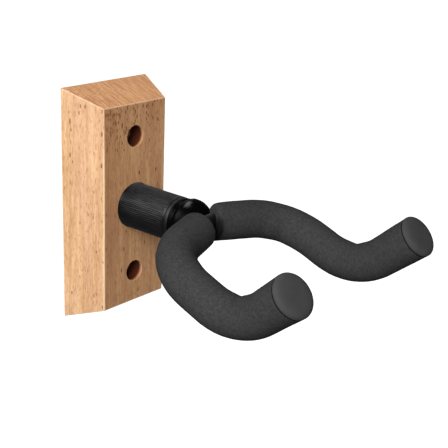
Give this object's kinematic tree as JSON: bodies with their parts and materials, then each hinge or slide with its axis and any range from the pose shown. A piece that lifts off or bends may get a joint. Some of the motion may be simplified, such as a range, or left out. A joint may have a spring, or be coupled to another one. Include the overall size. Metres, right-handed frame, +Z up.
{
  "type": "wall guitar hanger",
  "caption": "Wall hanger for a guitar: a bevelled wood block on two wall screws, a fluted post, and a foam-covered two-armed yoke that swivels about the post.",
  "frame": {"origin": "centre of the wood block's back face, on the wall, midway between the two wall screws", "axes": "+X along the wall to the right, seen from the room; +Y into the wall, along the post's and the swivel's axis; +Z up"},
  "size_m": [0.0961, 0.1446, 0.105],
  "materials": {
    "beech": "oiled beech, satin",
    "sleeve_black": "satin black, finely fluted",
    "bush_black": "matte black nylon",
    "bush_natural": "matte natural nylon",
    "hub_black": "gloss black",
    "zinc_steel": "zinc plated",
    "rod_black": "semi-gloss black",
    "foam": "closed-cell foam, matte",
    "cap_rubber": "smooth rubber, matte",
    "nylon_blue": "matte blue nylon"
  },
  "bodies": {
    "wall_base": {"wood_block": "beech", "sleeve": "sleeve_black", "front_bush": "bush_black", "rear_bush": "bush_natural"},
    "yoke": {"hub": "hub_black", "shank": "zinc_steel", "yoke_rod": "rod_black", "left_foam": "foam", "right_foam": "foam", "left_end_cap": "cap_rubber", "right_end_cap": "cap_rubber", "washer": "zinc_steel", "lock_nut": "zinc_steel", "nut_insert": "nylon_blue"}
  },
  "joints": [
    {"name": "yoke_swivel", "type": "hinge", "parent": "wall_base", "child": "yoke", "pos_m": [0, -0.04, 0], "axis": [0, 1, 0], "continuous": true}
  ]
}
